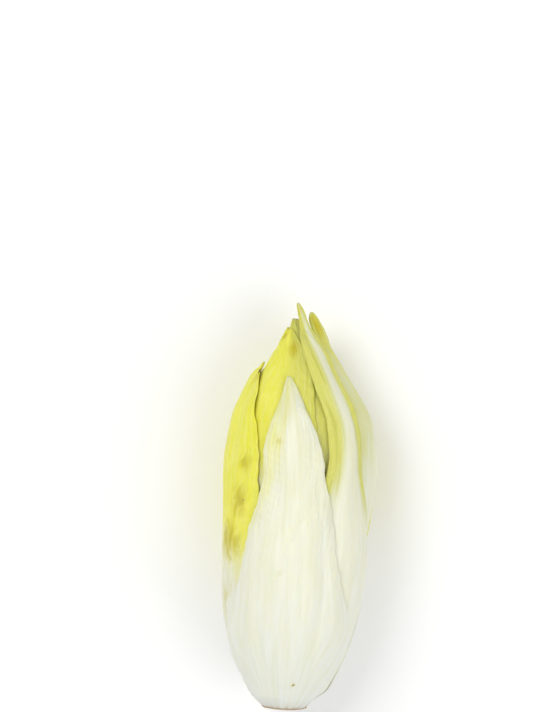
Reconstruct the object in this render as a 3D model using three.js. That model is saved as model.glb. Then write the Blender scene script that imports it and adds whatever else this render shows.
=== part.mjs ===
// A head of Belgian endive lying on its side: a short stem with its cut face, and the leaves wrapped round it.
// Millimetres. +Y runs along the head from the cut face to the leaf tips, +Z is up, and it lies on z = 0.
//
// The head is described in its own terms: a height along its axis, and a turn round it (0 is straight up, and
// it grows towards +X). Every leaf has a rest shape, a smooth bud round the axis. The leaves are laid from the
// heart outwards, and each one leans on whatever is already there, so they overlap as in a real bud and no two
// of them touch.

import * as THREE from "three";

const { clamp, degToRad, smoothstep } = THREE.MathUtils;

// ---- The head ----
const HEAD_LENGTH = 142.5;
const AXIS_HEIGHT = 24.7; // less than the belly's radius, because the underside is pressed flat
const FOOT_SIDE = -2.5; // the axis at the cut face, across the head
const TIP_SIDE = -1.9; // the axis at the tip
const BOW = 2.9; // how far the middle of the axis bends towards +X
const HEAD_OUTLINE = [
  // [height, radius] of the bud that the outermost leaf would make
  [0, 9.8],
  [3, 12.2],
  [10, 15.8],
  [20, 19.3],
  [34, 21.8],
  [54, 24.6],
  [80, 26.5],
  [94, 26.3],
  [103, 24.8],
  [112, 20.0],
  [122, 13.6],
  [132, 8.0],
  [HEAD_LENGTH, 1.8],
];
const HEART_DEPTH = 19.5; // of the hollow at the heart below that outline, which no leaf enters

// ---- The stem inside it ----
const CROWN_RADIUS = 8.0; // of the disc at the cut face, where the outer leaves' feet stand
const CROWN_THICK = 0.8;
const CROWN_BEVEL = 0.6;
const STEM_OUTLINE = [
  // [height, radius] above the crown
  [CROWN_THICK, 5.6],
  [6, 6.4],
  [14, 6.8],
  [28, 5.4],
  [42, 2.4],
  [50, 0],
];
const STEM_SIDES = 32;
const STEM_STEPS = 9;

// ---- The shapes of leaves: [share of the way from foot to tip, half-width along the leaf's curve] ----
const CLASPING = [
  // a broad foot wrapped round the head, then a narrow blade with a long tip
  [0, 12.0],
  [0.1, 21.0],
  [0.2, 25.0],
  [0.31, 21.0],
  [0.43, 17.0],
  [0.57, 14.6],
  [0.69, 11.2],
  [0.8, 10.0],
  [0.9, 5.4],
  [0.95, 3.2],
  [1, 0.6],
];
const NARROWED = [
  // as broad low down, but only a strip to either side of its rib higher up
  [0, 14.0],
  [0.15, 23.0],
  [0.35, 21.0],
  [0.48, 15.5],
  [0.58, 9.0],
  [0.68, 7.4],
  [0.8, 6.4],
  [0.9, 3.6],
  [0.96, 1.3],
  [1, 0.1],
];
const BROAD = [
  [0, 13.0],
  [0.1, 18.0],
  [0.3, 22.0],
  [0.6, 22.5],
  [0.78, 19.0],
  [0.88, 12.6],
  [0.95, 5.6],
  [1, 0.2],
];
const EDGE_WAVE = 0.03; // how much a leaf's edges wave, as a share of its half-width
const WAVES = 2.7; // of them along each edge

// ---- The outer leaves, from the outermost inwards ----
// turn: where the leaf sits round the head, and hook: how far its tip turns away from there, both in degrees.
// tip: the height of its tip. depth: how deep in the bud it lies. flare: how far its tip stands off the others.
const OUTER_LEAVES = [
  { turn: -7, hook: -9, tip: 116.8, depth: 0, outline: CLASPING, flare: 0.4 },
  { turn: 146, hook: 8, tip: 108, depth: 0.2, outline: BROAD, flare: -1.5 },
  { turn: -82, hook: 8, tip: 121.4, depth: 1.4, outline: BROAD, flare: 0.8 },
  { turn: 38, hook: -52, tip: HEAD_LENGTH, depth: 0.8, outline: NARROWED, flare: 0.2 },
  { turn: 190, hook: -12, tip: 125, depth: 2.2, outline: BROAD, flare: -2 },
  { turn: -38, hook: 10, tip: 133.5, depth: 2.8, outline: BROAD, flare: 0.4 },
  { turn: 92, hook: -20, tip: 139.5, depth: 1.8, outline: BROAD, flare: 0.4 },
  { turn: 234, hook: 10, tip: 134, depth: 3.4, outline: BROAD, flare: -0.5 },
  { turn: 15, hook: -55, tip: 137, depth: 4.2, outline: BROAD, flare: 0.3 },
  { turn: 168, hook: 6, tip: 136, depth: 4.4, outline: BROAD, flare: -1.5 },
];
const OUTER_RISE = 0.8; // the share of its depth that an outer leaf has lost at its tip
const HOOK_POWER = 9; // how close to the tip the hook is
const FLARE_POWER = 12;

// ---- The inner leaves, which keep to a rule ----
const LEAF_COUNT = 18; // the outer ones included
const DIVERGENCE = 137.5; // degrees from each leaf to the next one in
const INNER_TIP = 137; // the height of the highest inner tip
const INNER_TIP_DROP = 36; // from there to the innermost leaf's tip
const INNER_DEPTH = 4.2;
const INNER_DEPTH_STEP = 1.45; // from each leaf to the next one in
const INNER_RISE = 0.1;

// ---- All leaves ----
const LOWEST_FOOT = 1.2;
const FOOT_STEP = 0.36; // from the outermost leaf's foot up to the next one's
const FOOT_POWER = 1.6; // how much faster the feet climb further in
const SLIMMING = 0.0007; // how much narrower leaves are further in
const SMALLEST_BUD = 1.5; // radius of the innermost leaves near their tips
const WIDEST_TURN = degToRad(150); // half of what the innermost leaves wrap
const RIB_THICK = 5.0; // at the thickest of the outermost leaf's rib
const RIB_THINNING = 0.02; // from each leaf to the next one in
const RIB_TIP_SHARE = 0.14;
const RIB_WIDTH = 0.7; // of the fleshy rib low down, as a share of the leaf's width
const RIB_NARROWING = 0.42;
const RIB_RISE = 0.5; // how far the rib stands out of the leaf's outer face
const BLADE_THICK = 2.2; // between the rib and the edge, low down
const EDGE_THICK = 0.8;
const HEEL_SHARE = 0.2; // of its full thickness that a leaf has at its foot
const HEEL_HEIGHT = 38; // over which it grows to the full thickness
const EDGE_HUG = 2.6; // how far a leaf's edges would spring inwards if nothing held them
const GAP = 0.55; // between neighbouring pieces
const INNER_SLACK = 0.012; // more of a gap for each leaf further in
const SOFTNESS = 0.5; // of the bend where a leaf starts to lean on the one below
const DRAPE = 8; // how far past another leaf's edge a leaf takes to settle back down

// ---- How finely the leaves are faceted ----
const COLUMNS = 12;
// Every leaf has its rows at these heights, so that neighbours bend together.
const ROWS = [5, 9, 14, 20, 27, 35, 44, 55, 67, 79, 89, 97, 104, 110, 115, 120, 125, 130, 134.5, 138.5];
const END_CLEAR = 2; // no row is nearer than this to a leaf's foot or tip

const COLOURS = { stem: 0xe9dfc0, outer: 0xeef0dc, middle: 0xe8e9a4, heart: 0xecec9c };
const PALE_LEAVES = 5; // the outermost ones, mostly white rib

// A smooth curve through [place, value] points, read at a place.
function curveAt(points, place) {
  const last = points.length - 1;
  const x = clamp(place, points[0][0], points[last][0]);
  let i = 0;
  while (i < last - 1 && x > points[i + 1][0]) i++;
  const slope = (j) => {
    const before = points[Math.max(j - 1, 0)];
    const after = points[Math.min(j + 1, last)];
    return (after[1] - before[1]) / (after[0] - before[0]);
  };
  const span = points[i + 1][0] - points[i][0];
  const t = (x - points[i][0]) / span;
  const start = points[i][1] * (2 * t ** 3 - 3 * t ** 2 + 1) + slope(i) * span * (t ** 3 - 2 * t ** 2 + t);
  const end = points[i + 1][1] * (3 * t ** 2 - 2 * t ** 3) + slope(i + 1) * span * (t ** 3 - t ** 2);
  return start + end;
}

// About the larger of two lengths, with no crease where they change over.
function softMax(a, b) {
  return (a + b + Math.hypot(a - b, SOFTNESS)) / 2;
}

function headRadius(height) {
  return curveAt(HEAD_OUTLINE, height);
}

function stemRadius(height) {
  return Math.max(0, curveAt(STEM_OUTLINE, height));
}

// The inner leaf that is a number of leaves in from the outer ones.
function innerLeaf(inward) {
  const share = (inward - 1) / (LEAF_COUNT - OUTER_LEAVES.length - 1);
  return {
    turn: OUTER_LEAVES.at(-1).turn + DIVERGENCE * inward,
    hook: 0,
    tip: INNER_TIP - INNER_TIP_DROP * share ** 1.5,
    depth: INNER_DEPTH + INNER_DEPTH_STEP * inward,
    outline: BROAD,
    flare: 0,
  };
}

function makeLeaf(rank) {
  const outer = rank < OUTER_LEAVES.length;
  const own = outer ? OUTER_LEAVES[rank] : innerLeaf(rank - OUTER_LEAVES.length + 1);
  return {
    ...own,
    rank,
    outer,
    turn: degToRad(own.turn),
    hook: degToRad(own.hook),
    foot: LOWEST_FOOT + FOOT_STEP * rank ** FOOT_POWER,
    rise: outer ? OUTER_RISE : INNER_RISE,
  };
}

const leaves = Array.from({ length: LEAF_COUNT }, (_, rank) => makeLeaf(rank));

// How far up the leaf a height is, from 0 at its foot to 1 at its tip.
function shareUp(leaf, height) {
  return clamp((height - leaf.foot) / (leaf.tip - leaf.foot), 0, 1);
}

// The turn of the leaf's midrib.
function ribTurn(leaf, up) {
  return leaf.turn + leaf.hook * up ** HOOK_POWER;
}

// The radius of the bud that the leaf is a part of.
function budRadius(leaf, up, height) {
  return Math.max(SMALLEST_BUD, headRadius(height) - leaf.depth * (1 - leaf.rise * up ** 2));
}

// The turn between the leaf's midrib and its edge, on the side that across is on. Each edge waves its own way.
function halfTurn(leaf, up, height, across) {
  const phase = leaf.rank * 0.37 + (across > 0 ? 0.4 : 0);
  const wave = 1 + EDGE_WAVE * Math.sin(2 * Math.PI * (WAVES * up + phase));
  const halfWidth = curveAt(leaf.outline, up) * (1 - SLIMMING * leaf.rank ** 2) * wave;
  return WIDEST_TURN * Math.tanh(halfWidth / budRadius(leaf, up, height) / WIDEST_TURN);
}

// How fleshy the leaf is: 1 on the midrib, falling to nothing on the blade. The rib is broad low down and thin
// near the tip.
function ribShare(across, up) {
  return Math.exp(-((Math.abs(across) / (RIB_WIDTH - RIB_NARROWING * up)) ** 2.2));
}

function thickness(leaf, across, up, height) {
  const heel = HEEL_SHARE + (1 - HEEL_SHARE) * smoothstep(height - leaf.foot, -5, HEEL_HEIGHT);
  const taper = RIB_TIP_SHARE + (1 - RIB_TIP_SHARE) * (1 - up) ** 0.8;
  const rib = RIB_THICK * (1 - RIB_THINNING * leaf.rank) * heel * taper;
  const blade = EDGE_THICK + (BLADE_THICK - EDGE_THICK) * heel * (1 - across ** 4) * (1 - up ** 2);
  return blade + Math.max(0, rib - blade) * ribShare(across, up);
}

// The radius of the leaf's outer face if nothing lay under it.
function restRadius(leaf, across, up, height) {
  const rib = RIB_RISE * (ribShare(across, up) - 1);
  const hug = EDGE_HUG * Math.abs(across) ** 3 * (1 - 0.5 * up);
  return budRadius(leaf, up, height) + rib - hug + leaf.flare * up ** FLARE_POWER;
}

// The part of the leaf at a turn and height: where on the leaf it is, and how much the leaf counts there, from
// 1 on the leaf to 0 a drape's length past its edge.
function partAt(leaf, turn, height) {
  const up = shareUp(leaf, height);
  let off = (turn - ribTurn(leaf, up)) % (2 * Math.PI);
  if (off > Math.PI) off -= 2 * Math.PI;
  if (off < -Math.PI) off += 2 * Math.PI;
  const half = halfTurn(leaf, up, height, off);
  const beside = Math.max(0, Math.abs(off) - half) * budRadius(leaf, up, height);
  const below = (leaf.foot - height) * (leaf.outer ? 1 : 0.5);
  const beyond = Math.max(0, below, (height - leaf.tip) * 0.5);
  return {
    across: clamp(off / half, -1, 1),
    up,
    counts: 1 - smoothstep(Math.hypot(beside, beyond), 0, DRAPE),
  };
}

// The radii of a leaf's two faces at a turn and height, with the underside of the head pressed flat.
function facesAt(wanted, turn, height, across, up) {
  let top = Math.max(stemRadius(height), headRadius(height) - HEART_DEPTH);
  let faces = null;
  for (const leaf of leaves.toReversed()) {
    const part = leaf === wanted ? { across, up, counts: 1 } : partAt(leaf, turn, height);
    if (part.counts === 0) continue;
    const thick = thickness(leaf, part.across, part.up, height);
    const clear = top + GAP + INNER_SLACK * leaf.rank;
    const inner = softMax(clear, restRadius(leaf, part.across, part.up, height) - thick);
    if (leaf === wanted) faces = { inner, outer: inner + thick };
    top += (inner + thick - top) * part.counts;
  }
  const down = -Math.cos(turn);
  const press = down > 0 ? Math.min(1, AXIS_HEIGHT / (down * top)) : 1;
  return { inner: faces.inner * press, outer: faces.outer * press };
}

// The place of a point given by its turn, height and radius.
function place(turn, height, radius) {
  const share = height / HEAD_LENGTH;
  const side = FOOT_SIDE + (TIP_SIDE - FOOT_SIDE) * share + BOW * Math.sin(Math.PI * share);
  return [side + radius * Math.sin(turn), height - HEAD_LENGTH / 2, AXIS_HEIGHT + radius * Math.cos(turn)];
}

// A closed skin over two facing grids of the same size: grid[row][column] is a point.
function closedSheet(outer, inner) {
  const rows = outer.length;
  const columns = outer[0].length;
  const faces = [];
  const at = (side, row, column) => side * rows * columns + row * columns + column;
  const quad = (a, b, c, d) => faces.push(a, b, c, a, c, d);
  for (let r = 0; r < rows - 1; r++) {
    for (let c = 0; c < columns - 1; c++) {
      quad(at(0, r, c), at(0, r, c + 1), at(0, r + 1, c + 1), at(0, r + 1, c));
      quad(at(1, r, c), at(1, r + 1, c), at(1, r + 1, c + 1), at(1, r, c + 1));
    }
    quad(at(0, r, 0), at(0, r + 1, 0), at(1, r + 1, 0), at(1, r, 0));
    const last = columns - 1;
    quad(at(0, r + 1, last), at(0, r, last), at(1, r, last), at(1, r + 1, last));
  }
  for (let c = 0; c < columns - 1; c++) {
    quad(at(0, 0, c + 1), at(0, 0, c), at(1, 0, c), at(1, 0, c + 1));
    const last = rows - 1;
    quad(at(0, last, c), at(0, last, c + 1), at(1, last, c + 1), at(1, last, c));
  }
  const geometry = new THREE.BufferGeometry();
  const points = [...outer.flat(), ...inner.flat()];
  geometry.setAttribute("position", new THREE.Float32BufferAttribute(points.flat(), 3));
  geometry.setIndex(faces);
  geometry.computeVertexNormals();
  return geometry;
}

function leafGeometry(leaf) {
  const between = ROWS.filter((height) => height > leaf.foot + END_CLEAR && height < leaf.tip - END_CLEAR);
  const outer = [];
  const inner = [];
  for (const height of [leaf.foot, ...between, leaf.tip]) {
    const up = shareUp(leaf, height);
    const outerRow = [];
    const innerRow = [];
    for (let c = 0; c <= COLUMNS; c++) {
      const across = -1 + (2 * c) / COLUMNS;
      const turn = ribTurn(leaf, up) + across * halfTurn(leaf, up, height, across);
      const faces = facesAt(leaf, turn, height, across, up);
      outerRow.push(place(turn, height, faces.outer));
      innerRow.push(place(turn, height, faces.inner));
    }
    outer.push(outerRow);
    inner.push(innerRow);
  }
  return closedSheet(outer, inner);
}

function stemGeometry() {
  const top = STEM_OUTLINE.at(-1)[0];
  const profile = [
    new THREE.Vector2(0, 0),
    new THREE.Vector2(CROWN_RADIUS - CROWN_BEVEL, 0),
    new THREE.Vector2(CROWN_RADIUS, CROWN_BEVEL),
    new THREE.Vector2(CROWN_RADIUS, CROWN_THICK),
  ];
  for (let i = 0; i < STEM_STEPS; i++) {
    const height = CROWN_THICK + (top - CROWN_THICK) * (i / STEM_STEPS) ** 1.3;
    profile.push(new THREE.Vector2(stemRadius(height), height));
  }
  profile.push(new THREE.Vector2(0, top));
  const geometry = new THREE.LatheGeometry(profile, STEM_SIDES);
  const points = geometry.getAttribute("position");
  for (let i = 0; i < points.count; i++) {
    const [side, along, up] = place(0, points.getY(i), 0);
    points.setXYZ(i, side + points.getX(i), along, up + points.getZ(i));
  }
  geometry.computeVertexNormals();
  return geometry;
}

function leafColour(leaf) {
  if (leaf.rank < PALE_LEAVES) return COLOURS.outer;
  return leaf.outer ? COLOURS.middle : COLOURS.heart;
}

function addPiece(group, name, geometry, colour, roughness) {
  const material = new THREE.MeshStandardMaterial({ color: colour, roughness, metalness: 0 });
  const mesh = new THREE.Mesh(geometry, material);
  mesh.name = name;
  group.add(mesh);
}

const head = new THREE.Group();
addPiece(head, "stem", stemGeometry(), COLOURS.stem, 0.7);
for (const leaf of leaves) {
  const number = String(leaf.rank + 1).padStart(2, "0");
  addPiece(head, `leaf_${number}`, leafGeometry(leaf), leafColour(leaf), 0.45);
}

export default head;
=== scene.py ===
"""A head of Belgian endive lying on its side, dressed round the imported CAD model.

Lengths are in millimetres until a mesh is made. The head is described as its CAD source describes it: a
height along the axis from the cut face, and a turn round the axis (0 is straight up, and it grows towards
+X). Each leaf is made again by the CAD model's own rule, on a fine grid, with thin ruffled edges, strands
and veins.

A place on a leaf is how far across it is, from -1 at its left edge to 1 at its right one, and how far up,
from 0 at its foot to 1 at its tip. A range is a pair: where a change starts, and where it is complete.
"""

import math
from dataclasses import dataclass

import bpy
import numpy as np
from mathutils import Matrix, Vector


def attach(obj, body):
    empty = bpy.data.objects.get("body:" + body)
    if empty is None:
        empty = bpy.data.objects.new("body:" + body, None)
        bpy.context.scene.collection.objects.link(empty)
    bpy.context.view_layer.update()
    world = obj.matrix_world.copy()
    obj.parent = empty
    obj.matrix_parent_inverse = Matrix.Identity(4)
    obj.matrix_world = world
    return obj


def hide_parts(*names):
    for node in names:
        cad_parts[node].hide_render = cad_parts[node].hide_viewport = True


MM = 0.001
TINY = 1e-9  # what a divisor is at least

# ---- The head, as in the CAD source ----
HEAD_LENGTH = 142.5
AXIS_HEIGHT = 24.7  # less than the belly's radius, because the underside is pressed flat
FOOT_SIDE = -2.5  # the axis at the cut face, across the head
TIP_SIDE = -1.9  # the axis at the tip
BOW = 2.9  # how far the middle of the axis bends towards +X
# (height, radius) of the bud that the outermost leaf would make.
HEAD_OUTLINE = (
    (0, 9.8), (3, 12.2), (10, 15.8), (20, 19.3), (34, 21.8), (54, 24.6), (80, 26.5), (94, 26.3),
    (103, 24.8), (112, 20.0), (122, 13.6), (132, 8.0), (HEAD_LENGTH, 1.8),
)
HEART_DEPTH = 19.5  # of the hollow at the heart below that outline, which no leaf enters
CROWN_THICK = 0.8  # of the disc at the cut face, where the outer leaves' feet stand
CROWN_BEVEL = 0.6
# (height, radius) of the stem above the crown.
STEM_OUTLINE = ((CROWN_THICK, 5.6), (6, 6.4), (14, 6.8), (28, 5.4), (42, 2.4), (50, 0))

# The outlines of leaves: (share of the way from foot to tip, half width along the leaf's curve).
CLASPING = (
    (0, 12.0), (0.1, 21.0), (0.2, 25.0), (0.31, 21.0), (0.43, 17.0), (0.57, 14.6), (0.69, 11.2),
    (0.8, 10.0), (0.9, 5.4), (0.95, 3.2), (1, 0.6),
)
NARROWED = (
    (0, 14.0), (0.15, 23.0), (0.35, 21.0), (0.48, 15.5), (0.58, 9.0), (0.68, 7.4), (0.8, 6.4),
    (0.9, 3.6), (0.96, 1.3), (1, 0.1),
)
BROAD = (
    (0, 13.0), (0.1, 18.0), (0.3, 22.0), (0.6, 22.5), (0.78, 19.0), (0.88, 12.6), (0.95, 5.6), (1, 0.2),
)
EDGE_WAVE = 0.03  # how much a leaf's edges wave, as a share of its half width
WAVES = 2.7  # of them along each edge
WAVE_SHIFT = 0.37  # of the wave's start, from each leaf to the next one in
WAVE_SIDE_SHIFT = 0.4  # from a leaf's left edge to its right one

# Each outer leaf from the outermost inwards: turn, hook, tip, depth, outline, flare.
OUTER_LEAVES = (
    (-7, -9, 116.8, 0, CLASPING, 0.4),
    (146, 8, 108, 0.2, BROAD, -1.5),
    (-82, 8, 121.4, 1.4, BROAD, 0.8),
    (38, -52, HEAD_LENGTH, 0.8, NARROWED, 0.2),
    (190, -12, 125, 2.2, BROAD, -2),
    (-38, 10, 133.5, 2.8, BROAD, 0.4),
    (92, -20, 139.5, 1.8, BROAD, 0.4),
    (234, 10, 134, 3.4, BROAD, -0.5),
    (15, -55, 137, 4.2, BROAD, 0.3),
    (168, 6, 136, 4.4, BROAD, -1.5),
)
OUTER_RISE = 0.8  # the share of its depth that an outer leaf has lost at its tip
HOOK_POWER = 9  # how close to the tip the hook is
FLARE_POWER = 12  # how close to the tip the flare is
LEAF_COUNT = 18  # the outer ones included
DIVERGENCE = 137.5  # degrees from each inner leaf to the next one in
INNER_TIP = 137  # the height of the highest inner tip
INNER_TIP_DROP = 36  # from there to the innermost leaf's tip
INNER_TIP_POWER = 1.5  # how much faster the tips drop further in
INNER_DEPTH = 4.2
INNER_DEPTH_STEP = 1.45  # from each leaf to the next one in
INNER_RISE = 0.1

LOWEST_FOOT = 1.2
FOOT_STEP = 0.36  # from the outermost leaf's foot up to the next one's
FOOT_POWER = 1.6  # how much faster the feet climb further in
SLIMMING = 0.0007  # how much narrower leaves are further in
SMALLEST_BUD = 1.5  # radius of the innermost leaves near their tips
WIDEST_TURN = math.radians(150)  # half of what the innermost leaves wrap
RIB_THICK = 5.0  # at the thickest of the outermost leaf's rib
RIB_THINNING = 0.02  # from each leaf to the next one in
RIB_TIP_SHARE = 0.14
RIB_TAPER = 0.8  # the power by which the rib thins out towards the tip: the lower, the later
RIB_WIDTH = 0.7  # of the fleshy rib low down, as a share of the leaf's width
RIB_NARROWING = 0.42
RIB_POWER = 2.2  # how squarely it falls away to the blade
RIB_RISE = 0.5  # how far the rib stands out of the leaf's outer face
BLADE_THICK = 2.2  # between the rib and the edge, low down
BLADE_POWER = 4  # how close to its edge the blade thins out
HEEL_SHARE = 0.2  # of its full thickness that a leaf has at the low end of the heel
HEEL = (-5, 38)  # the range of heights from its foot over which a leaf thickens
EDGE_HUG = 2.6  # how far a leaf's edges would spring inwards if nothing held them
HUG_POWER = 3  # how close to its edges they do
HUG_EASING = 0.5  # the share of that which is lost at the tip
GAP = 0.55  # between neighbouring pieces
INNER_SLACK = 0.012  # more of a gap for each leaf further in
SOFTNESS = 0.5  # of the bend where a leaf starts to lean on the one below
DRAPE = 8  # how far past another leaf's edge a leaf takes to settle back down
END_DRAPE = 0.5  # how much more gently it settles past a tip, or past an inner leaf's foot

# ---- What the fine leaves add to it ----
FINE_EDGE_THICK = 0.5
FINE_GRID = (190, 100)  # rows and columns of the leaves that show
HIDDEN_GRID = (96, 44)
END_CROWDING = 0.6  # how much closer together the rows are at a leaf's ends
SIDE_CROWDING = 0.5  # and the columns at its sides
ROUNDED_EDGE = 0.8  # over which a leaf's edge rounds off
FOOT_SHARPNESS = 3  # how much less a leaf's cut foot rounds off than its edges
CROWN_SEAT = 0.83  # the height that the outermost leaves reach down to, on the crown
SEATED_LEAVES = 5  # how many of them do
BASE_TUCK = 0.21  # how much the head's foot tucks in towards the cut face, as a share of its radius
TUCK_HEIGHT = 2.8  # over which it does

STRANDS = 6.5  # of the bundles on each side of a midrib, where they fan out as wide as the leaf
STRAND_FOOT = 0.35  # how closely the strands lie at the foot
STRAND_FAN = 1.1  # how far they fan out by the tip
FAN_POWER = 1.2  # how much of the fanning comes near the tip
STRAND_RISE = 0.1  # how far a strand stands out of the leaf's face
STRAND_SHARPNESS = 1.5  # of a strand's crest
STRAND_STEADY = 0.55  # the share of a strand's rise that is the same all along it
STRAND_CROWDED = (0.7, 2.2)  # the range of spacings over which a strand comes to show
STRAND_WANDER = 0.05  # how far the strands stray, as a share of their distance from the midrib
STRAND_SHAKE = 0.02  # and in shorter waves

EDGE_PRESS = 0.3  # how far a leaf's edges lie closer to the leaf below than the rest of it
PRESSED_EDGE = (0.75, 1)  # the range across over which they do
RUFFLE = 0.5  # how far an outer leaf's free edge lifts at most
FREE_EDGE = (0.55, 1)  # the range across over which it lifts
FREE_HEIGHT = (0.3, 0.62)  # and the range up the leaf
TIP_CURL = 0.5  # how far the sides of an outer leaf's tip curl up and down
TIP_LIFT = 0.6  # how far the whole tip lifts, as a share of that
LIFTED_TIP = (0.78, 0.9)
CURLED_TIP = (0.8, 0.93)
CURLED_MIDDLE = 0.4  # the share of the curl that the tip's middle has
UNDULATION = 0.3  # how far the whole leaf swells and sinks
COUNTER_SHARE = 0.7  # how strong the second of two crossing waves is
UNDULATING = (0.1, 0.35)
PUCKER = 0.12  # of the thin blade between its strands
PUCKERED = (0.35, 0.7)
FOLD = 0.42  # of the soft ridges that run along a leaf
FOLDED = (0.03, 0.3)
STEADY = 0.7  # the share of a ridge or ruffle that is the same all along it
EDGE_NICKS = 0.012  # the small waves of a leaf's outline, as a share of its half width
NICKED = (0.2, 0.5)
DRAWN_IN = 0.14  # how much narrower the right side of the leaf with the wide white rib is, round its middle
DRAWN_ACROSS = (0, 0.8)
DRAWN_FROM = (0.35, 0.5)
DRAWN_TO = (0.8, 0.95)

# The waves that shape the leaves. Each has a number of its own, its turns from foot to tip, and its turns
# aside: for each half width across the leaf or, where it says so, on its right side or for each strand.
LEAF_START = 0.618  # how much later in its turn a wave starts on the next leaf in
WAVE_START = 0.277  # and how much later the next wave does
SWELL = (1, 2.1, 0.5)
COUNTER_SWELL = (2, 3.4, -0.9)
RUFFLES = (3, 4.3, 0.35)  # right side
RUFFLE_CHANGE = (4, 11.61, -0.35)  # right side
STRAY = (5, 1.7, 1.3)
SHAKE = (6, 6.3, -0.7)
PUCKERS = (7, 16, 0.9)  # strands
COUNTER_PUCKERS = (8, 23, -0.6)  # strands
RIDGES = (9, 0.4, 1.6)
RIDGE_CHANGE = (10, 1.7, 0)
STRAND_CHANGE = (11, 0.8, 0.37)  # strands
COUNTER_CHANGE = (12, -1.3, 0.23)  # strands
NICKS = (13, 9.3, 0.21)  # right side
COUNTER_NICKS = (14, 21.7, -0.21)  # right side
CURL = (15, 6.5, 0.45)

# ---- The stem's own fineness ----
CROWN_SIDES = 160
CROWN_RINGS = 26  # across the cut face
RIM_RINGS = 5  # round its bevel
RISE_RINGS = 60  # up the stem
RISE_POWER = 1.3  # how much closer together they are low down
FIRST_RING = 0.05  # the innermost ring of the cut face, as a share of its radius
STEM_TIP = 0.25  # the radius of the stem's top
RIM_INSET = 0.1  # of the crown's rim within the leaves' feet
RIM_LOBES = (5, 0.05)  # the uneven rim's waves: how many go round it, and how deep they are
RIM_NOTCHES = (13, 0.04)
FACE_DOME = 0.35  # how far the cut face's middle stands out beyond its rim
DOME_POWER = 4  # how close to the rim the dome falls away
CUT_DEPTH = 0.08  # how far back the uneven cut lies, so that its marks stay behind the foremost point
CUT_INSIDE = (0, 0.3)  # the range in from the rim over which it becomes uneven
CUT_RINGS = (2.1, 0.05)  # the knife's marks: radians for each millimetre outwards, and depth
CUT_SWAY = (2, 1.2)  # how many times they sway in and out on the way round, and how far in radians
CUT_SPOKES = (9, 3, 0.03)  # marks round the face, the twist of each for each millimetre outwards, and depth

# ---- Where the leaves are yellow ----
YELLOW_SPAN = 0.3  # of the leaf's height over which it turns yellow
EDGE_LEAD = 0.2  # how much sooner the edges turn yellow
LEAD_POWER = 1.5  # how close to the edges that is
WHITEST = 0.88  # how far the midrib of a yellow leaf stays white
WHITE_POWER = 2.6  # how sharply that white ends on each side
WHITE_END = (-0.25, 0.05)  # the range about its end over which it fades
RIGHT_OF_RIB = (0, 0.3)
OLIVE_SIDE = (-0.1, 0.6)
YELLOW_TIP = (0.8, 0.95)
BROWNED = 0.9  # how far in a cut foot or a thin edge turns brown
SEED_STEP = 7.3  # from each leaf's part of the noise to the next one's

# Ochre bruises: leaf, height, turn in degrees, how far it spreads round the head and along it, and strength.
BRUISES = (
    (3, 72, -54, 5.5, 7.0, 0.9),
    (3, 86, -48, 3.6, 5.0, 0.65),
    (3, 59, -66, 6.5, 8.5, 0.9),
    (3, 40, -72, 8.0, 14.0, 0.4),
    (3, 116.5, -66, 2.4, 3.5, 1.1),
    (1, 94.5, -18, 1.4, 1.4, 0.55),
    (1, 69, -30, 1.6, 3.0, 0.45),
    (1, 50, -13, 2.5, 2.0, 0.4),
    (1, 10.3, 7, 0.9, 0.9, 0.8),
    (4, 82, 60, 1.6, 5.0, 0.7),
    (4, 139, -14, 0.8, 2.5, 0.8),
    (6, 126, -17, 2.4, 3.5, 0.95),
    (6, 131, -40, 1.5, 2.0, 0.8),
    (7, 135, 64, 2.0, 4.0, 1.2),
    (5, 96, 200, 2.0, 5.0, 0.7),
    (8, 110, -112, 1.2, 4.0, 0.7),
    (2, 70, 118, 1.6, 4.0, 0.6),
)

# Brown specks, described in the same way.
SPECKS = (
    (3, 73.5, -49, 0.35, 0.45, 1),
    (3, 56, -67, 0.35, 0.35, 1),
    (1, 10.3, 7, 0.4, 0.4, 1),
    (1, 6.5, 62, 1.2, 0.8, 1),
    (9, 128, -6, 0.4, 0.6, 1),
    (3, 30, -96, 0.35, 0.35, 1),
    (3, 118.0, -66, 0.9, 1.1, 1),
    (2, 40, 104, 0.35, 0.4, 1),
)

# ---- The record's material slots, and the leaves that use each ----
PALE_LEAVES = 5  # the outermost ones
YELLOW_LEAVES = 9  # these and the next ones, up to here
BODY = "root"
GLOSS = {"pale_leaf": 0.08, "yellow_leaf": 0.1, "heart_leaf": 0.1}

# ---- The studio, in metres and watts ----
FLOOR_REACH = 3
FLOOR_COLOUR = (0.96, 0.96, 0.96)
FLOOR_ROUGHNESS = 0.6
SKY_STRENGTH = 0.62
# Each softbox: name, place, size and power.
SOFTBOXES = (("key", (-0.35, 0.25, 0.75), 0.4, 2.6), ("fill", (0.5, -0.25, 0.75), 0.6, 2.2))

# ---- The camera ----
CAMERA_X = -13.6
CAMERA_Y = 52.2
CAMERA_RISE = 900  # above the head's axis
CAMERA_ROLL = 2.4  # degrees
SENSOR_WIDTH = 36
FRAME_LENGTH = 250.6  # of the long side of what the camera sees, at the head

# ---- Colours, as linear red, green and blue ----
WHITE_FLESH = (0.83, 0.845, 0.765)
CREAM_FLESH = (0.815, 0.80, 0.59)
GREEN_FLESH = (0.69, 0.72, 0.47)
BRIGHT_YELLOW = (0.865, 0.825, 0.10)
DEEP_YELLOW = (0.80, 0.775, 0.015)
OLIVE = (0.66, 0.65, 0.12)
DEEP_OLIVE = (0.50, 0.50, 0.07)
PALE_VEIN = (0.86, 0.84, 0.42)
OCHRE = (0.57, 0.49, 0.01)
BROWN = (0.08, 0.05, 0.015)
RUST = (0.42, 0.22, 0.06)
PITH = (0.72, 0.66, 0.45)

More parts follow.
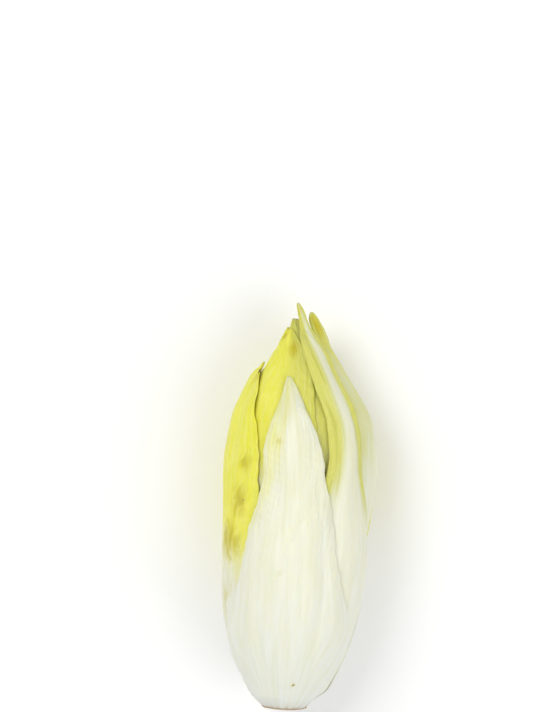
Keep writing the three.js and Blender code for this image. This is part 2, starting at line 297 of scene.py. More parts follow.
# ---- The flesh that light sinks into ----
SINKING = 0.35  # the share of the light that does
SINK_COLOURS = (1.0, 0.85, 0.45)
SINK_DEPTH = 0.0022  # in metres
WET_ROUGHNESS = 0.3

# ---- The leaves' noises: spots for each strand and each millimetre, detail, roughness, distortion ----
FIBRES = (1.1, 0.035, 5.0, 0.62)
CLOUDS = (0.45, 0.06, 3.0)
GRAIN = (4.0, 0.9, 2.0)
BLOTCHES = (0.7, 0.13, 4.0, 0.55, 1.2)
WANDER = (1.2, 0.35, 2.0)

# ---- The leaves' look: the ranges over which a change shows, how far noises sway it, and its most ----
VEIN_NET = (1.9, 0.42)  # veins for each strand, and for each millimetre
VEIN_SWAY = (1.2, 0.7)
VEIN_WIDTH = (0.0, 0.1)
CREST_WIDTH = (0.3, 1.0)
CREST_FIBRES = (0.25, 0.6)
CREAM_HEIGHTS = (-10.0, 90.0)
CREAM_CLOUDS = 1.8
CREAM_MOST = 0.8
GREEN_FIBRES = (0.4, 0.7)
GREEN_STREAKS = 0.35
GREEN_TINGE = 2.0  # how much greener the pale flesh is for the olive of its leaf
GREEN_MOST = 0.8
DEEP_BLOTCHES = (0.3, 0.7)
DEEP_MOST = 0.8
TONE_CLOUDS = 0.7
TONE_FIBRES = 0.4
DEEP_FIBRES = (0.5, 0.72)
DEEP_OLIVES = (0.1, 0.8)  # the range of how olive a leaf is over which it has deep streaks
DEEP_STREAKS = 0.7
CREST_PALENESS = 0.2
VEIN_PALENESS = 0.12
YELLOW_CLOUDS = 0.6
YELLOW_FIBRES = 0.75
YELLOW_CREST = -0.08
YELLOWED = (0.05, 0.95)
YELLOW_AT_ALL = (0.0, 0.2)
BRUISE_BLOTCHES = 1.6
BRUISE_FIBRES = 0.7
BRUISED = (0.05, 1.3)
BRUISED_AT_ALL = (0.0, 0.5)
SPECK_GRAIN = 0.4
SPECKED = (0.4, 0.7)
FOOT_CLOUDS = (0.3, 0.6)
FOOT_RUST = 0.7
EDGE_GRAIN = (0.55, 0.75)
EDGE_OCHRE = 0.4
RELIEF_FIBRES = 0.8
RELIEF_GRAIN = 0.25
RELIEF_VEINS = 0.3
RELIEF_STRENGTH = 0.45
RELIEF_DEPTH = 0.0004  # in metres
SMOOTHEST = 0.36
ROUGH_FIBRES = 0.16
ROUGH_YELLOW = 0.06

# ---- The cut face's noises: spots across its radius and for each millimetre of height, and detail ----
PITH_CLOUDS = (2.2, 0.2, 4.0)
PITH_GRAIN = (22, 1, 3.0)
BUNDLES = (7, 1, 2.0)

# ---- The cut face's look ----
PITHY = (0.3, 0.7)
RING_RADIUS = 0.6  # of the browned ring of bundles, as a share of the face's
RING_WIDTH = (0.01, 0.1)
RING_CLOUDS = 0.3
RING_BUNDLES = 0.1
RING_BROKEN = (0.35, 0.65)
RING_RUST = 0.5
RIM_WIDTH = (0.82, 1.0)
RIM_SWAY = 0.2
RIM_RUST = 0.65
DOT_GRAIN = (0.6, 0.8)
DOT_BROWN = 0.5
CUT_ROUGHNESS = 0.55
CUT_STRENGTH = 0.6


@dataclass
class Colouring:
    """Where a leaf is yellow and where it is white. Heights are shares of the way up it."""

    start: float = 0.5  # where it turns yellow
    sooner: float = 0.0  # how much sooner its right side does
    rib_end: float = 0.4  # where its midrib turns yellow too
    rib_width: float = 0.5  # of the white along the midrib, as a share of the rib
    rib_right: float = 0.0  # how much further the white goes on the right side
    olive: float = 0.3  # how olive the yellow is
    olive_right: float = 0.0  # how much more olive its right side is
    fullest: float = 1.0  # how yellow it gets
    tip: float = 0.0  # how much yellower its tip is


OUTER_COLOURINGS = (
    Colouring(start=0.72, sooner=-0.22, rib_end=0.97, rib_width=0.55, olive=0.2, fullest=0.42),
    Colouring(start=0.52, rib_end=0.8),
    Colouring(start=0.34, rib_end=0.2, olive=0.08),
    Colouring(start=0.46, rib_end=1.1, rib_width=0.85, rib_right=0.2, olive=0.85, fullest=0.92),
    Colouring(start=0.52, rib_end=0.6),
    Colouring(start=0.45, rib_end=0.3, olive=0.0, olive_right=0.75),
    Colouring(start=0.56, sooner=-0.1, rib_end=0.75, rib_width=0.6, olive=0.8, fullest=0.5, tip=0.5),
    Colouring(),
    Colouring(start=0.45, rib_end=0.3, olive=0.95),
    Colouring(),
)


@dataclass
class Leaf:
    """One leaf: its place in the head, as in the CAD source, and its colouring."""

    rank: int  # 0 is the outermost
    turn: float  # where it sits round the head
    hook: float  # how far its tip turns away from there
    tip: float  # the height of its tip
    depth: float  # how deep in the bud it lies
    outline: tuple
    flare: float  # how far its tip stands off the others
    foot: float  # the height of its foot
    rise: float  # the share of its depth that it has lost at its tip
    outer: bool
    colouring: Colouring


def curve_at(points, place):
    """A smooth curve through (place, value) points, read at places."""
    x, y = np.array(points, float).T
    slope = np.empty_like(y)
    slope[1:-1] = (y[2:] - y[:-2]) / (x[2:] - x[:-2])
    slope[0] = (y[1] - y[0]) / (x[1] - x[0])
    slope[-1] = (y[-1] - y[-2]) / (x[-1] - x[-2])
    at = np.clip(place, x[0], x[-1])
    i = np.searchsorted(x[1:-1], at)
    span = x[i + 1] - x[i]
    t = (at - x[i]) / span
    start = y[i] * (2 * t**3 - 3 * t**2 + 1) + slope[i] * span * (t**3 - 2 * t**2 + t)
    return start + y[i + 1] * (3 * t**2 - 2 * t**3) + slope[i + 1] * span * (t**3 - t**2)


def smooth(x, low, high):
    """0 below low, 1 above high, and an even bend between."""
    t = np.clip((x - low) / (high - low), 0, 1)
    return t * t * (3 - 2 * t)


def soft_max(a, b):
    """About the larger of two lengths, with no crease where they change over."""
    return (a + b + np.hypot(a - b, SOFTNESS)) / 2


def head_radius(height):
    return curve_at(HEAD_OUTLINE, height)


def stem_radius(height):
    return np.maximum(0, curve_at(STEM_OUTLINE, height))


def make_leaf(rank):
    outer = rank < len(OUTER_LEAVES)
    if outer:
        turn, hook, tip, depth, outline, flare = OUTER_LEAVES[rank]
    else:
        inward = rank - len(OUTER_LEAVES) + 1
        share = (inward - 1) / (LEAF_COUNT - len(OUTER_LEAVES) - 1)
        turn = OUTER_LEAVES[-1][0] + DIVERGENCE * inward
        tip = INNER_TIP - INNER_TIP_DROP * share**INNER_TIP_POWER
        depth = INNER_DEPTH + INNER_DEPTH_STEP * inward
        hook, outline, flare = 0, BROAD, 0
    foot = LOWEST_FOOT + FOOT_STEP * rank**FOOT_POWER
    rise = OUTER_RISE if outer else INNER_RISE
    colouring = OUTER_COLOURINGS[rank] if outer else Colouring()
    bearings = (math.radians(turn), math.radians(hook))
    return Leaf(rank, *bearings, tip, depth, outline, flare, foot, rise, outer, colouring)


LEAVES = [make_leaf(rank) for rank in range(LEAF_COUNT)]


def fine_foot(leaf):
    """The height of the leaf's foot here. The outermost leaves reach down onto the crown."""
    return min(leaf.foot, CROWN_SEAT) if leaf.rank < SEATED_LEAVES else leaf.foot


def share_up(leaf, height):
    return np.clip((height - leaf.foot) / (leaf.tip - leaf.foot), 0, 1)


def rib_turn(leaf, up):
    return leaf.turn + leaf.hook * up**HOOK_POWER


def bud_radius(leaf, up, height):
    """The radius of the bud that the leaf is a part of."""
    return np.maximum(SMALLEST_BUD, head_radius(height) - leaf.depth * (1 - leaf.rise * up**2))


def half_turn(leaf, up, height, across):
    """The turn between the leaf's midrib and its edge, on the side that across is on."""
    phase = leaf.rank * WAVE_SHIFT + np.where(across > 0, WAVE_SIDE_SHIFT, 0)
    waved = 1 + EDGE_WAVE * np.sin(2 * np.pi * (WAVES * up + phase))
    half_width = curve_at(leaf.outline, up) * (1 - SLIMMING * leaf.rank**2) * waved
    return WIDEST_TURN * np.tanh(half_width / bud_radius(leaf, up, height) / WIDEST_TURN)


def rib_share(across, up):
    """How fleshy the leaf is: 1 on the midrib, falling to nothing on the blade."""
    return np.exp(-((np.abs(across) / (RIB_WIDTH - RIB_NARROWING * up)) ** RIB_POWER))


def thickness(leaf, across, up, height):
    heel = HEEL_SHARE + (1 - HEEL_SHARE) * smooth(height - leaf.foot, *HEEL)
    taper = RIB_TIP_SHARE + (1 - RIB_TIP_SHARE) * (1 - up) ** RIB_TAPER
    rib = RIB_THICK * (1 - RIB_THINNING * leaf.rank) * heel * taper
    thinning = (1 - across**BLADE_POWER) * (1 - up**2)
    blade = FINE_EDGE_THICK + (BLADE_THICK - FINE_EDGE_THICK) * heel * thinning
    return blade + np.maximum(0, rib - blade) * rib_share(across, up)


def rest_radius(leaf, across, up, height):
    """The radius of the leaf's outer face if nothing lay under it."""
    rib = RIB_RISE * (rib_share(across, up) - 1)
    hug = EDGE_HUG * np.abs(across) ** HUG_POWER * (1 - HUG_EASING * up)
    return bud_radius(leaf, up, height) + rib - hug + leaf.flare * up**FLARE_POWER


def part_at(leaf, turn, height):
    """Where on the leaf a turn and height are, and how much the leaf counts there."""
    up = share_up(leaf, height)
    off = (turn - rib_turn(leaf, up) + np.pi) % (2 * np.pi) - np.pi
    half = half_turn(leaf, up, height, off)
    beside = np.maximum(0, np.abs(off) - half) * bud_radius(leaf, up, height)
    below = (fine_foot(leaf) - height) * (1 if leaf.outer else END_DRAPE)
    beyond = np.maximum(0, np.maximum(below, (height - leaf.tip) * END_DRAPE))
    counts = 1 - smooth(np.hypot(beside, beyond), 0, DRAPE)
    return np.clip(off / half, -1, 1), up, counts


def wave(leaf, kind, up, aside):
    """One of the named waves, from -1 to 1. It starts elsewhere in its turn on each leaf."""
    number, turns_up, turns_aside = kind
    start = (leaf.rank * LEAF_START + number * WAVE_START) % 1
    return np.sin(2 * np.pi * (turns_up * up + turns_aside * aside + start))


def undulation(leaf, across, up):
    """How the whole leaf swells and sinks, and the soft ridges along it."""
    broad = wave(leaf, SWELL, up, across) + COUNTER_SHARE * wave(leaf, COUNTER_SWELL, up, across)
    change = STEADY + (1 - STEADY) * wave(leaf, RIDGE_CHANGE, up, across)
    ridges = wave(leaf, RIDGES, up, across) * change
    return UNDULATION * broad * smooth(up, *UNDULATING) + FOLD * ridges * smooth(up, *FOLDED)


def ruffle(leaf, across, up):
    """How far the leaf's free edges and its tip lift off what lies below."""
    if not leaf.outer:
        return 0
    right = across > 0
    change = STEADY + (1 - STEADY) * wave(leaf, RUFFLE_CHANGE, up, right)
    lift = (1 + wave(leaf, RUFFLES, up, right) * change) / 2
    free = smooth(np.abs(across), *FREE_EDGE) * smooth(up, *FREE_HEIGHT)
    sides = CURLED_MIDDLE + (1 - CURLED_MIDDLE) * np.abs(across)
    curl = wave(leaf, CURL, up, across) * smooth(up, *CURLED_TIP) * sides
    return RUFFLE * lift * free + TIP_CURL * (TIP_LIFT + curl) * smooth(up, *LIFTED_TIP)


def strand_spread(up):
    return STRAND_FOOT + STRAND_FAN * up**FAN_POWER


def strand_number(leaf, across, up):
    """Which strand of the leaf a point is on, from the midrib. The strands fan out towards the tip."""
    wander = STRAND_WANDER * wave(leaf, STRAY, up, across)
    shake = STRAND_SHAKE * wave(leaf, SHAKE, up, across)
    return STRANDS * across * (1 + wander + shake) / strand_spread(up)


def strand_crest(leaf, across, up):
    """How far the strands stand out of the leaf's outer face."""
    spacing = curve_at(leaf.outline, up) * strand_spread(up) / STRANDS
    strand = strand_number(leaf, across, up)
    crest = ((1 + np.cos(2 * np.pi * strand)) / 2) ** STRAND_SHARPNESS
    change = wave(leaf, STRAND_CHANGE, up, strand) * wave(leaf, COUNTER_CHANGE, up, strand)
    strength = STRAND_STEADY + (1 - STRAND_STEADY) * change
    return STRAND_RISE * crest * strength * smooth(spacing, *STRAND_CROWDED)


def pucker(leaf, across, up):
    """The small swellings of the thin blade between its strands."""
    strand = strand_number(leaf, across, up)
    swellings = wave(leaf, PUCKERS, up, strand) * wave(leaf, COUNTER_PUCKERS, up, strand)
    return PUCKER * swellings * (1 - rib_share(across, up)) * smooth(up, *PUCKERED)


def lay_leaves(turn, height, wanted=None, across=0, up=0):
    """Lays the leaves from the heart outwards. Returns the wanted leaf's two faces and the head's outside."""
    top = np.maximum(stem_radius(height), head_radius(height) - HEART_DEPTH)
    faces = None
    for leaf in reversed(LEAVES):
        here, share, counts = (across, up, 1) if leaf is wanted else part_at(leaf, turn, height)
        thick = thickness(leaf, here, share, height)
        rest = rest_radius(leaf, here, share, height) + undulation(leaf, here, share)
        press = EDGE_PRESS * smooth(np.abs(here), *PRESSED_EDGE)
        clear = top + GAP + INNER_SLACK * leaf.rank - press
        inner = soft_max(clear, rest - thick) + ruffle(leaf, here, share)
        if leaf is wanted:
            faces = (inner, inner + thick)
        top = top + (inner + thick - top) * counts
    return faces, top


def faces_at(leaf, turn, height, across, up):
    """The radii of a leaf's two faces, with the underside of the head pressed flat."""
    (inner, outer), top = lay_leaves(turn, height, leaf, across, up)
    down = np.maximum(-np.cos(turn), TINY)
    press = np.minimum(1, AXIS_HEIGHT / (down * top))
    skin = strand_crest(leaf, across, up) + pucker(leaf, across, up)
    return inner * press, np.minimum(outer * press + skin, AXIS_HEIGHT / down)


def place(turn, height, radius):
    """The places of points given by their turn, height and radius."""
    share = height / HEAD_LENGTH
    side = FOOT_SIDE + (TIP_SIDE - FOOT_SIDE) * share + BOW * np.sin(np.pi * share)
    radius = radius * (1 - BASE_TUCK * np.exp(-((height / TUCK_HEIGHT) ** 2)))
    x = side + radius * np.sin(turn)
    z = AXIS_HEIGHT + radius * np.cos(turn)
    return np.stack(np.broadcast_arrays(x, height - HEAD_LENGTH / 2, z), axis=-1)


def crowded(count, crowding):
    """Shares from -1 to 1, closer together towards both ends."""
    even = np.linspace(-1, 1, count)
    return (1 - crowding) * even + crowding * np.sin(even * np.pi / 2)


def grid_faces(rows, columns):
    """The faces of a closed leaf: an outer and an inner grid that share the points along their border."""
    outer = np.arange(rows * columns).reshape(rows, columns)
    inner = outer.copy()
    inside = (rows - 2) * (columns - 2)
    inner[1:-1, 1:-1] = rows * columns + np.arange(inside).reshape(rows - 2, columns - 2)
    front = np.stack((outer[:-1, :-1], outer[:-1, 1:], outer[1:, 1:], outer[1:, :-1]), axis=-1)
    back = np.stack((inner[:-1, :-1], inner[1:, :-1], inner[1:, 1:], inner[:-1, 1:]), axis=-1)
    quads = np.concatenate((front.reshape(-1, 4), back.reshape(-1, 4))).tolist()
    corners = {outer[0, 0], outer[0, -1], outer[-1, 0], outer[-1, -1]}
    return [face for quad in quads for face in split_at(corners, quad)]


def split_at(corners, quad):
    """Cuts a quad through its corner of the grid, where the outer and inner quads share three points."""
    corner = corners.intersection(quad)
    if not corner:
        return [quad]
    start = quad.index(corner.pop())
    first, second, third, fourth = quad[start:] + quad[:start]
    return [(first, second, third), (first, third, fourth)]


def both_faces(outer, inner):
    """Values on the outer grid, then those on the inner grid's inside."""
    tail = outer.shape[2:]
    return np.concatenate((outer.reshape(-1, *tail), inner[1:-1, 1:-1].reshape(-1, *tail)))


def make_mesh(name, points, faces, values):
    """A smooth-shaded mesh from points in millimetres, with an attribute for each of the named values."""
    mesh = bpy.data.meshes.new(name)
    mesh.from_pydata((points * MM).tolist(), [], faces)
    for key, value in values.items():
        layer = mesh.attributes.new(key, "FLOAT", "POINT")
        layer.data.foreach_set("value", np.ascontiguousarray(value, np.float32))
    mesh.polygons.foreach_set("use_smooth", np.ones(len(faces), bool))
    mesh.update()
    return add_object(name, mesh)


def add_object(name, data, location=(0, 0, 0)):
    made = bpy.data.objects.new(name, data)
    made.location = location
    bpy.context.scene.collection.objects.link(made)
    return made


def yellowing(leaf, across, up):
    """How yellow the leaf is, from 0 to 1: first at its edges, and last on its midrib."""
    look = leaf.colouring
    begins = look.start - EDGE_LEAD * np.abs(across) ** LEAD_POWER - look.sooner * across
    blade = smooth(up, begins, begins + YELLOW_SPAN)
    aside = np.maximum(np.abs(across) - look.rib_right * smooth(across, *RIGHT_OF_RIB), 0)
    rib = look.rib_width * (RIB_WIDTH - RIB_NARROWING * up)
    fade = smooth(up, *(look.rib_end + end for end in WHITE_END))
    white = WHITEST * np.exp(-((aside / rib) ** WHITE_POWER)) * (1 - fade)
    return np.minimum(1, look.fullest * blade * (1 - white) + look.tip * smooth(up, *YELLOW_TIP))


def marks(leaf, turn, height, marked):
    """How strongly a leaf is marked by bruises or specks."""
    most = np.zeros_like(height)
    for number, at_height, at_turn, wide, high, strength in marked:
        if number == leaf.rank + 1:
            aside = (turn - math.radians(at_turn)) * head_radius(height) / wide
            mark = np.exp(-(aside**2) - ((height - at_height) / high) ** 2)
            most = np.maximum(most, mark * strength)
    return most


def fine_half_turn(leaf, up, height, across):
    """The leaf's half turn, with the small waves of its outline."""
    right = across > 0
    nicks = wave(leaf, NICKS, up, right) + COUNTER_SHARE * wave(leaf, COUNTER_NICKS, up, right)
    narrower = EDGE_NICKS * nicks * smooth(up, *NICKED)
    if leaf.colouring.rib_right:
        middle = smooth(up, *DRAWN_FROM) * (1 - smooth(up, *DRAWN_TO))
        narrower = narrower + DRAWN_IN * smooth(across, *DRAWN_ACROSS) * middle
    return half_turn(leaf, up, height, across) * (1 - narrower)


def leaf_piece(leaf):
    rows, columns = FINE_GRID if leaf.outer else HIDDEN_GRID
    share = (crowded(rows, END_CROWDING)[:, None] + 1) / 2
    lowest = fine_foot(leaf)
    across = np.broadcast_to(crowded(columns, SIDE_CROWDING), (rows, columns))
    height = np.broadcast_to(lowest + (leaf.tip - lowest) * share, across.shape)
    up = share_up(leaf, height)
    half = fine_half_turn(leaf, up, height, across)
    turn = rib_turn(leaf, up) + across * half
    inner, outer = faces_at(leaf, turn, height, across, up)
    to_side = (1 - np.abs(across)) * half * bud_radius(leaf, up, height)
    to_end = np.minimum(FOOT_SHARPNESS * (height - lowest), leaf.tip - height)
    near = np.clip(np.minimum(to_side, to_end) / ROUNDED_EDGE, 0, 1)
    round_off = np.sqrt(1 - (1 - near) ** 2)
    middle = (inner + outer) / 2
    outer = middle + (outer - middle) * round_off
    inner = middle + (inner - middle) * round_off
    points = both_faces(place(turn, height, outer), place(turn, height, inner))
    on_leaf = {
        "height": height,
        "strand": strand_number(leaf, across, up),
        "yellow": yellowing(leaf, across, up),
        "olive": leaf.colouring.olive + leaf.colouring.olive_right * smooth(across, *OLIVE_SIDE),
        "edge": np.exp(-to_side / BROWNED),
        "foot": np.exp(-(height - lowest) / BROWNED),
        "bruise": marks(leaf, turn, height, BRUISES),
        "speck": marks(leaf, turn, height, SPECKS),
        "seed": np.full_like(height, leaf.rank * SEED_STEP),
    }
    values = {key: both_faces(value, value) for key, value in on_leaf.items()}
    return make_mesh(f"endive_leaf_{leaf.rank + 1:02d}", points, grid_faces(rows, columns), values)


def rim_waves(turn, lobes, depth, start=0):
    return depth * np.sin(turn * lobes + start)


def cut_height(turn, share, out):
    """The height of the domed and slightly uneven cut face. Out is in millimetres from its middle."""
    sways, sway = CUT_SWAY
    closeness, ring_depth = CUT_RINGS
    spokes, twist, spoke_depth = CUT_SPOKES
    rough = ring_depth * np.cos(out * closeness + sway * np.sin(turn * sways))
    rough = rough + spoke_depth * np.sin(turn * spokes + out * twist)
    return FACE_DOME * share**DOME_POWER + (CUT_DEPTH + rough) * smooth(1 - share, *CUT_INSIDE)


def all_round(rings):
    """The same value at every side of each ring."""
    return np.repeat(rings, CROWN_SIDES, axis=1)


def stem_piece():
    """The stem and its crown: rings from the middle of the cut face out to the rim, then up to the top."""
    turn = np.linspace(0, 2 * np.pi, CROWN_SIDES, endpoint=False)
    rim = lay_leaves(turn, np.full(CROWN_SIDES, CROWN_SEAT))[1] - RIM_INSET
    ragged = rim + rim_waves(turn, *RIM_LOBES) + rim_waves(turn, *RIM_NOTCHES, start=1)
    share = np.linspace(FIRST_RING, 1, CROWN_RINGS)[:, None]
    out = share * (ragged - CROWN_BEVEL)
    bend = np.linspace(0, np.pi / 2, RIM_RINGS)[1:, None]
    rim_radius = ragged - CROWN_BEVEL * (1 - np.sin(bend))
    rim_height = FACE_DOME + (CROWN_THICK - FACE_DOME) * (1 - np.cos(bend))
    rise = np.linspace(0, 1, RISE_RINGS)[:, None] ** RISE_POWER
    side_height = CROWN_THICK + (STEM_OUTLINE[-1][0] - CROWN_THICK) * rise
    side_radius = np.maximum(stem_radius(side_height), STEM_TIP)
    radius = [out, rim_radius, all_round(side_radius)]
    height = [cut_height(turn, share, out), all_round(rim_height), all_round(side_height)]
    radius = np.concatenate(radius)
    height = np.concatenate(height)
    at = np.arange(radius.size).reshape(radius.shape)
    beside = np.roll(at, -1, axis=1)
    faces = np.stack((at[:-1], beside[:-1], beside[1:], at[1:]), axis=-1).reshape(-1, 4).tolist()
    faces += [at[0][::-1].tolist(), at[-1].tolist()]
    out = radius / rim
    values = {
        "height": height.ravel(),
        "out": out.ravel(),
        "across": (out * np.sin(turn)).ravel(),
        "upward": (out * np.cos(turn)).ravel(),
    }
    return make_mesh("endive_stem", place(turn, height, radius).reshape(-1, 3), faces, values)


class Nodes:
    """Builds one material. Each method adds a node and returns the output that others link to."""

    def __init__(self, name):
        self.material = bpy.data.materials.new(name)
        self.material.use_nodes = True
        self.tree = self.material.node_tree
        self.shader = self.tree.nodes["Principled BSDF"]

    def add(self, kind, inputs, output, **settings):
        node = self.tree.nodes.new(kind)
        for key, value in settings.items():
            setattr(node, key, value)
        for key, value in inputs.items():
            self.feed(node.inputs[key], value)
        return node.outputs[output]

    def feed(self, socket, value):
        if isinstance(value, bpy.types.NodeSocket):
            self.tree.links.new(value, socket)
        else:
            socket.default_value = value

    def value(self, name):
        return self.add("ShaderNodeAttribute", {}, "Fac", attribute_name=name)

    def math(self, operation, a, b=0.0, clamp=False):
        return self.add("ShaderNodeMath", {0: a, 1: b}, 0, operation=operation, use_clamp=clamp)

    def scaled(self, value, by):
        return self.math("MULTIPLY", value, by)

    def swing(self, noise, by):
        """Noise from 0 to 1 turned into a change of at most half of by, up or down."""
        return self.scaled(self.math("SUBTRACT", noise, 0.5), by)

    def total(self, *values):
        out = values[0]
        for value in values[1:]:
            out = self.math("ADD", out, value)
        return out

    def between(self, value, low, high):
        """0 below low, 1 above high, and an even bend between."""
        inputs = {"Value": value, "From Min": low, "From Max": high}
        return self.add("ShaderNodeMapRange", inputs, "Result", interpolation_type="SMOOTHSTEP")

    def point(self, x, y, z):
        return self.add("ShaderNodeCombineXYZ", {"X": x, "Y": y, "Z": z}, "Vector")

    def noise(self, point, detail, roughness=0.5, distortion=0.0):
        inputs = {"Vector": point, "Scale": 1.0, "Detail": detail}
        inputs |= {"Roughness": roughness, "Distortion": distortion}
        return self.add("ShaderNodeTexNoise", inputs, "Fac")

    def cells(self, point):
        """How far a point is from the border of its cell."""
        inputs = {"Vector": point, "Scale": 1.0}
        return self.add("ShaderNodeTexVoronoi", inputs, "Distance", feature="DISTANCE_TO_EDGE")

    def mix(self, share, low, high):
        """A share of the way from one colour to another: the node's inputs 6 and 7, and its output 2."""
        inputs = {0: share, 6: rgba(low), 7: rgba(high)}
        return self.add("ShaderNodeMix", inputs, 2, data_type="RGBA")

    def bump(self, height, strength):
        inputs = {"Height": height, "Strength": strength, "Distance": RELIEF_DEPTH}
        return self.add("ShaderNodeBump", inputs, "Normal")

    def shade(self, **inputs):
        for key, value in inputs.items():
            self.feed(self.shader.inputs[key.replace("_", " ")], value)


def rgba(colour):
    return (*colour, 1) if isinstance(colour, tuple) else colour


def flesh(nodes, gloss):
    """The wet, slightly clear flesh that light sinks into."""
    nodes.shade(
        Subsurface_Weight=SINKING,
        Subsurface_Radius=SINK_COLOURS,
        Subsurface_Scale=SINK_DEPTH,
        Coat_Weight=gloss,
        Coat_Roughness=WET_ROUGHNESS,
    )


class LeafNodes(Nodes):
    """The nodes of a leaf's material, with the values and noises that its colours share."""

    def __init__(self, name):
        super().__init__(name)
        self.strand = self.value("strand")
        self.height = self.value("height")
        self.seed = self.value("seed")
        self.yellow = self.value("yellow")
        self.olive = self.value("olive")
        self.fibres = self.leaf_noise(*FIBRES)
        self.clouds = self.leaf_noise(*CLOUDS)
        self.grain = self.leaf_noise(*GRAIN)
        self.blotches = self.leaf_noise(*BLOTCHES)
        self.veins = self.vein_net()
        self.crest = self.strand_crests()
        self.amount = self.yellow_amount()

    def leaf_noise(self, by_strand, by_height, *character):
        x = self.scaled(self.strand, by_strand)
        y = self.scaled(self.height, by_height)
        return self.noise(self.point(x, y, self.seed), *character)

    def vein_net(self):
        across, along = VEIN_NET
        sway_across, sway_along = VEIN_SWAY
        wander = self.leaf_noise(*WANDER)
        x = self.total(self.scaled(self.strand, across), self.swing(wander, sway_across))
        y = self.total(self.scaled(self.height, along), self.swing(self.grain, sway_along))
        off_vein = self.cells(self.point(x, y, self.seed))
        return self.math("SUBTRACT", 1.0, self.between(off_vein, *VEIN_WIDTH))

    def strand_crests(self):
        crest = self.between(self.math("COSINE", self.scaled(self.strand, 2 * math.pi)), *CREST_WIDTH)
        return self.math("MULTIPLY", crest, self.between(self.fibres, *CREST_FIBRES))

    def yellow_amount(self):
        clouds = self.swing(self.clouds, YELLOW_CLOUDS)
        fibres = self.swing(self.fibres, YELLOW_FIBRES)
        amount = self.total(self.yellow, clouds, fibres, self.scaled(self.crest, YELLOW_CREST))
        at_all = self.between(self.yellow, *YELLOW_AT_ALL)
        return self.math("MULTIPLY", self.between(amount, *YELLOWED), at_all)

    def pale_flesh(self):
        higher = self.between(self.height, *CREAM_HEIGHTS)
        creamy = self.total(higher, self.swing(self.clouds, CREAM_CLOUDS))
        pale = self.mix(self.math("MULTIPLY", creamy, CREAM_MOST, clamp=True), WHITE_FLESH, CREAM_FLESH)
        tinge = self.scaled(self.math("MULTIPLY", self.yellow, self.olive), GREEN_TINGE)
        green = self.total(self.scaled(self.between(self.fibres, *GREEN_FIBRES), GREEN_STREAKS), tinge)
        return self.mix(self.math("MINIMUM", green, GREEN_MOST), pale, GREEN_FLESH)

    def yellow_blade(self):
        blotches = self.scaled(self.between(self.blotches, *DEEP_BLOTCHES), DEEP_MOST)
        bright = self.mix(blotches, BRIGHT_YELLOW, DEEP_YELLOW)
        clouds = self.swing(self.clouds, TONE_CLOUDS)
        fibres = self.swing(self.fibres, TONE_FIBRES)
        tone = self.total(self.olive, clouds, fibres)
        blade = self.mix(self.between(tone, 0.0, 1.0), bright, OLIVE)
        streaks = self.between(self.fibres, *DEEP_FIBRES)
        deep = self.math("MULTIPLY", streaks, self.between(self.olive, *DEEP_OLIVES))
        blade = self.mix(self.scaled(deep, DEEP_STREAKS), blade, DEEP_OLIVE)
        crest = self.scaled(self.crest, CREST_PALENESS)
        veins = self.scaled(self.veins, VEIN_PALENESS)
        return self.mix(self.math("MAXIMUM", crest, veins), blade, PALE_VEIN)

    def marked(self, colour):
        """The colour with its bruises and specks."""
        bruise = self.value("bruise")
        blotches = self.swing(self.blotches, BRUISE_BLOTCHES)
        fibres = self.swing(self.fibres, BRUISE_FIBRES)
        bruised = self.between(self.total(bruise, blotches, fibres), *BRUISED)
        bruised = self.math("MULTIPLY", bruised, self.between(bruise, *BRUISED_AT_ALL))
        colour = self.mix(bruised, colour, OCHRE)
        speck = self.total(self.value("speck"), self.swing(self.grain, SPECK_GRAIN))
        return self.mix(self.between(speck, *SPECKED), colour, BROWN)

    def browned(self, colour):
        """The colour with its cut foot and thin edges turned brown."""
        cut = self.math("MULTIPLY", self.value("foot"), self.between(self.clouds, *FOOT_CLOUDS))
        colour = self.mix(self.scaled(cut, FOOT_RUST), colour, RUST)
        edge = self.math("MULTIPLY", self.value("edge"), self.between(self.grain, *EDGE_GRAIN))
        edge = self.math("MULTIPLY", edge, self.amount)
        return self.mix(self.scaled(edge, EDGE_OCHRE), colour, OCHRE)

    def relief(self):
        veins = self.math("MULTIPLY", self.scaled(self.veins, RELIEF_VEINS), self.amount)
        fibres = self.scaled(self.fibres, RELIEF_FIBRES)
        grain = self.scaled(self.grain, RELIEF_GRAIN)
        return self.bump(self.total(fibres, grain, veins), RELIEF_STRENGTH)

    def roughness(self):
        fibres = self.scaled(self.fibres, ROUGH_FIBRES)
        yellow = self.scaled(self.amount, ROUGH_YELLOW)
        return self.total(SMOOTHEST, fibres, yellow)


def leaf_material(name, gloss):
    nodes = LeafNodes(name)
    colour = nodes.mix(nodes.amount, nodes.pale_flesh(), nodes.yellow_blade())
    colour = nodes.browned(nodes.marked(colour))
    nodes.shade(Base_Color=colour, Roughness=nodes.roughness(), Normal=nodes.relief())
    flesh(nodes, gloss)
    return nodes.material


def cut_noise(nodes, by_radius, by_height, detail):
    x = nodes.scaled(nodes.value("across"), by_radius)
    y = nodes.scaled(nodes.value("upward"), by_radius)
    z = nodes.scaled(nodes.value("height"), by_height)
    return nodes.noise(nodes.point(x, y, z), detail)


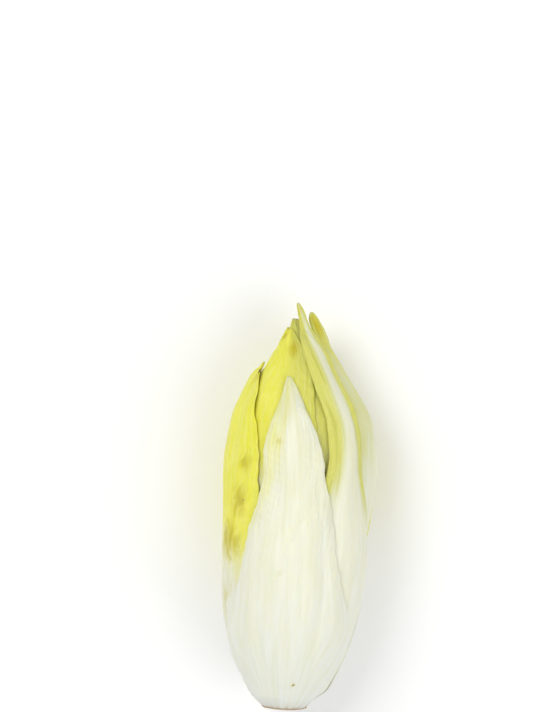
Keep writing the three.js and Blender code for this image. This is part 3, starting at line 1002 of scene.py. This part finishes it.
def stem_material():
    nodes = Nodes("stem_flesh")
    out = nodes.value("out")
    clouds = cut_noise(nodes, *PITH_CLOUDS)
    grain = cut_noise(nodes, *PITH_GRAIN)
    bundles = cut_noise(nodes, *BUNDLES)
    wavy = nodes.total(out, nodes.swing(clouds, RING_CLOUDS), nodes.swing(bundles, RING_BUNDLES))
    off_ring = nodes.math("ABSOLUTE", nodes.math("SUBTRACT", wavy, RING_RADIUS))
    ring = nodes.math("SUBTRACT", 1.0, nodes.between(off_ring, *RING_WIDTH))
    ring = nodes.math("MULTIPLY", ring, nodes.between(bundles, *RING_BROKEN))
    colour = nodes.mix(nodes.between(clouds, *PITHY), WHITE_FLESH, PITH)
    colour = nodes.mix(nodes.scaled(ring, RING_RUST), colour, RUST)
    ragged = nodes.total(out, nodes.swing(clouds, RIM_SWAY), nodes.swing(bundles, RIM_SWAY))
    colour = nodes.mix(nodes.scaled(nodes.between(ragged, *RIM_WIDTH), RIM_RUST), colour, RUST)
    colour = nodes.mix(nodes.scaled(nodes.between(grain, *DOT_GRAIN), DOT_BROWN), colour, BROWN)
    nodes.shade(Base_Color=colour, Roughness=CUT_ROUGHNESS, Normal=nodes.bump(grain, CUT_STRENGTH))
    flesh(nodes, 0.0)
    return nodes.material


def floor_material():
    nodes = Nodes("floor")
    nodes.shade(Base_Color=rgba(FLOOR_COLOUR), Roughness=FLOOR_ROUGHNESS)
    return nodes.material


def add_floor():
    mesh = bpy.data.meshes.new("floor")
    corners = ((-1, -1), (1, -1), (1, 1), (-1, 1))
    mesh.from_pydata([(FLOOR_REACH * x, FLOOR_REACH * y, 0) for x, y in corners], [], [(0, 1, 2, 3)])
    mesh.materials.append(floor_material())
    add_object("floor", mesh)


def add_softbox(name, location, size, power):
    """A square lamp that faces the object."""
    lamp = bpy.data.lights.new(name, "AREA")
    lamp.energy = power
    lamp.size = size
    made = add_object(name, lamp, location)
    made.rotation_euler = (-Vector(location)).to_track_quat("-Z", "Y").to_euler()


def add_studio():
    world = bpy.data.worlds.new("studio")
    world.use_nodes = True
    backdrop = world.node_tree.nodes["Background"]
    backdrop.inputs["Color"].default_value = (1, 1, 1, 1)
    backdrop.inputs["Strength"].default_value = SKY_STRENGTH
    bpy.context.scene.world = world
    for softbox in SOFTBOXES:
        add_softbox(*softbox)
    bpy.context.scene.view_settings.view_transform = "Standard"


def add_camera():
    """Straight above the middle of the photograph's frame, with the head leaning a little to the right."""
    data = bpy.data.cameras.new("camera")
    data.sensor_width = SENSOR_WIDTH
    data.lens = SENSOR_WIDTH * CAMERA_RISE / FRAME_LENGTH
    place_of_camera = (CAMERA_X * MM, CAMERA_Y * MM, (AXIS_HEIGHT + CAMERA_RISE) * MM)
    camera = add_object("camera", data, place_of_camera)
    camera.rotation_euler = (0, 0, math.radians(CAMERA_ROLL))
    bpy.context.scene.camera = camera


def slot_of(leaf):
    if leaf.rank < PALE_LEAVES:
        return "pale_leaf"
    return "yellow_leaf" if leaf.rank < YELLOW_LEAVES else "heart_leaf"


def dress(piece, material, node):
    """Gives a piece its material and body, and lets it stand for a CAD node."""
    piece.data.materials.append(material)
    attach(piece, BODY)
    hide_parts(node)


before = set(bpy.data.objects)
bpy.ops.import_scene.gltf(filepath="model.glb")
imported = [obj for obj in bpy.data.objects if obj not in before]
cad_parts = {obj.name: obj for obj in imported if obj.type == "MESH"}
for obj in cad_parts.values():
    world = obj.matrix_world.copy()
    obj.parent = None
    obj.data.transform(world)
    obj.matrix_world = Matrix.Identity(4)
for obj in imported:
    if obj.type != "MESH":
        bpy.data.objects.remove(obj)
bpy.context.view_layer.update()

dress(stem_piece(), stem_material(), "stem")
materials = {slot: leaf_material(f"{slot}_flesh", gloss) for slot, gloss in GLOSS.items()}
for leaf in LEAVES:
    slot = slot_of(leaf)
    dress(leaf_piece(leaf), materials[slot], f"leaf_{leaf.rank + 1:02d}")

add_floor()
add_studio()
add_camera()
